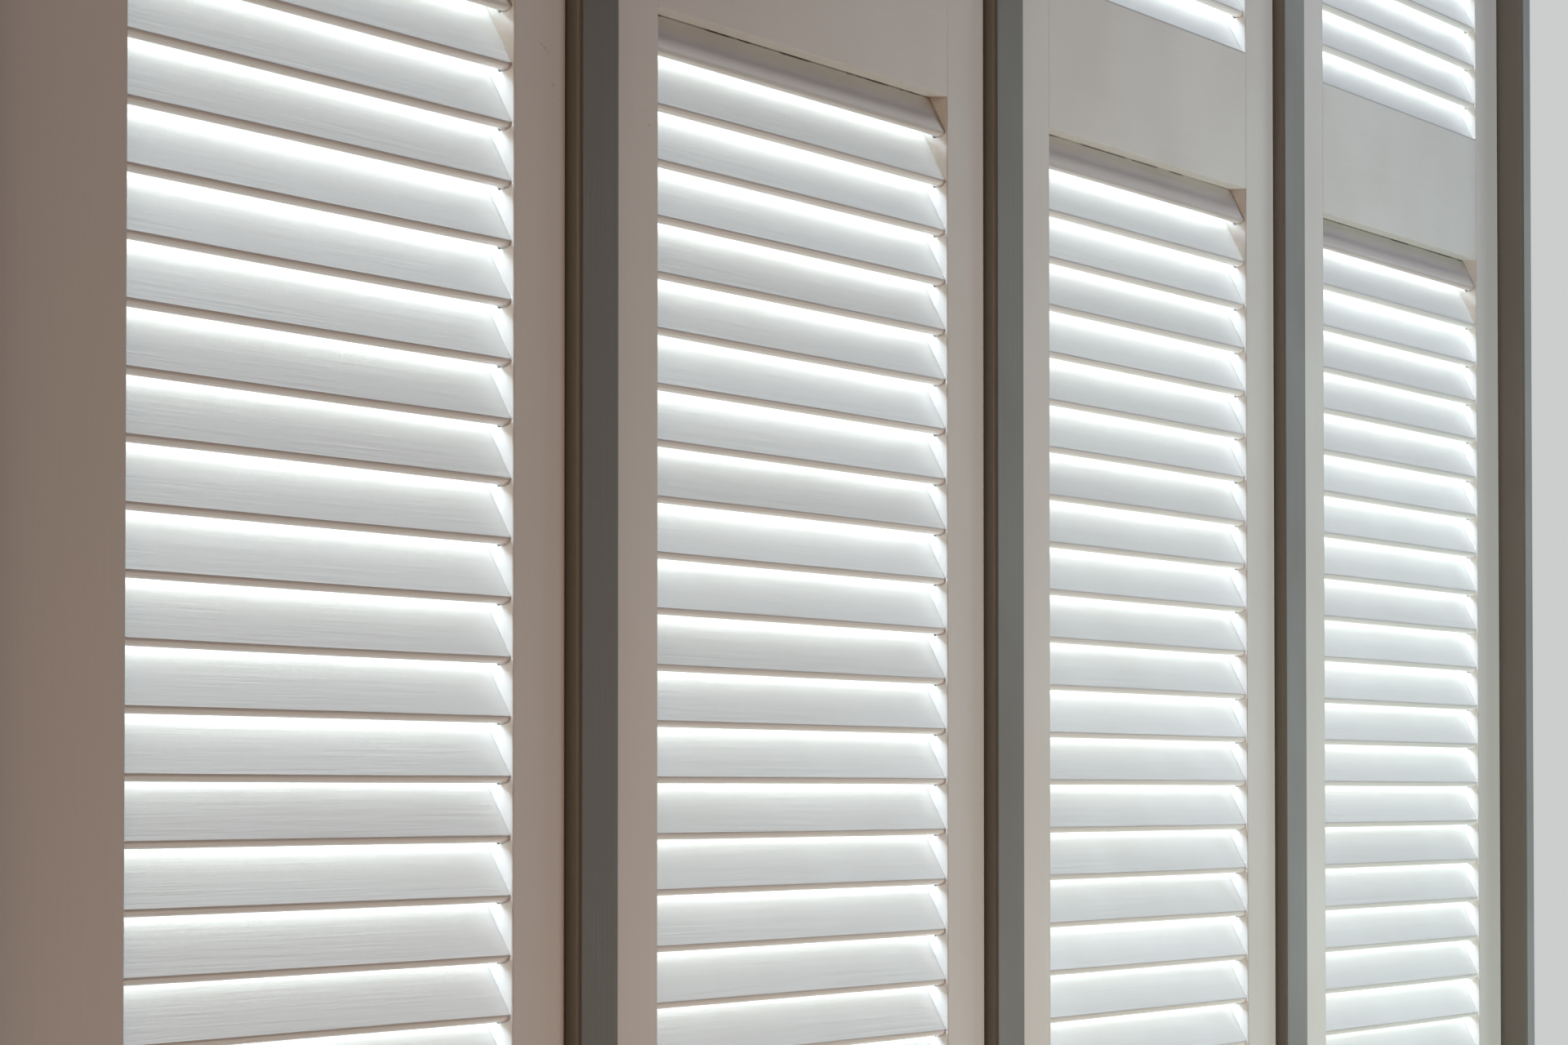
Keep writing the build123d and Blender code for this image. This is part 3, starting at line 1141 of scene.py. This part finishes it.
@dataclass
class Viewpoint:
    """The camera, at the photograph's angle: low, close to the panels' plane, from the left."""

    before_opening: float = 2194.6 * MM
    below_rail: float = 354.8 * MM
    before_front: float = 1073.2 * MM
    turn: float = math.radians(20.3)
    rise: float = math.radians(2.373)
    lens: float = 150.0
    reach: Span = (0.05, 200.0)

    def build(self) -> None:
        """Make the camera and give it to the scene.

        It stands back from the first panel's opening and below its mid rail, and looks along
        (cos turn, sin turn) in plan, raised by rise.
        """
        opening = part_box("panel_1_left_stile")[1].x
        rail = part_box("panel_1_mid_rail")[0].z
        camera = bpy.data.cameras.new("viewpoint")
        camera.lens = self.lens
        camera.clip_start, camera.clip_end = self.reach
        made = bpy.data.objects.new("viewpoint", camera)
        level = math.cos(self.rise)
        look = (math.cos(self.turn) * level, math.sin(self.turn) * level, math.sin(self.rise))
        made.location = (opening - self.before_opening, -self.before_front, rail - self.below_rail)
        made.rotation_euler = Vector(look).to_track_quat("-Z", "Y").to_euler()
        bpy.context.scene.collection.objects.link(made)
        bpy.context.scene.camera = made


def finishes() -> Dict[str, bpy.types.Material]:
    """Build the materials.

    Returns:
        Each material under the short name that the pieces ask for.
    """
    under_rails = tuple(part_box(f"panel_1_{rail}_rail")[0].z for rail in ("mid", "top"))
    upright, level = Grain.UPRIGHT, Grain.LEVEL
    kinds = {
        "upright": Paint(
            "shutter_paint_upright", WHITE, WHITE_GRIME, upright, arris=1.4 * MM, marks=STILE_MARKS
        ),
        "level": Paint("shutter_paint_level", WHITE, WHITE_GRIME, level, arris=1.4 * MM),
        "slats": Paint(
            "slat_paint", WHITE, WHITE_GRIME, level, streak_depth=0.03 * MM, cracks=under_rails
        ),
        "post": Paint("frame_paint_upright", TAUPE, TAUPE_GRIME, upright, 0.32, 2.4 * MM),
        "board": Paint("frame_paint_level", TAUPE, TAUPE_GRIME, level, 0.32, 1.6 * MM),
        "steel": Metal("hinge_steel", (0.60, 0.585, 0.56), (0.36, 0.34, 0.31), 0.34),
        "magnet": Metal("magnet", (0.56, 0.56, 0.57), (0.40, 0.40, 0.41), 0.26),
    }
    return {name: kind.material() for name, kind in kinds.items()}


def main() -> None:
    """Build the classes in order and report each piece."""
    finish = finishes()
    slats: List[bpy.types.Object] = []
    for panel in PANELS:
        for section in SECTIONS:
            slats += LouvreBank(panel, section, finish["slats"]).build()
    others = HingeSet(finish["steel"]).build() + Joinery(finish).build()
    for piece in [*slats, *others]:
        log.info("%s is in %s", piece.name, piece.data.materials[0].name)
    Studio().build(slats, others)
    Viewpoint().build()
    bpy.context.scene.view_settings.view_transform = "Standard"


if __name__ == "__main__":
    main()
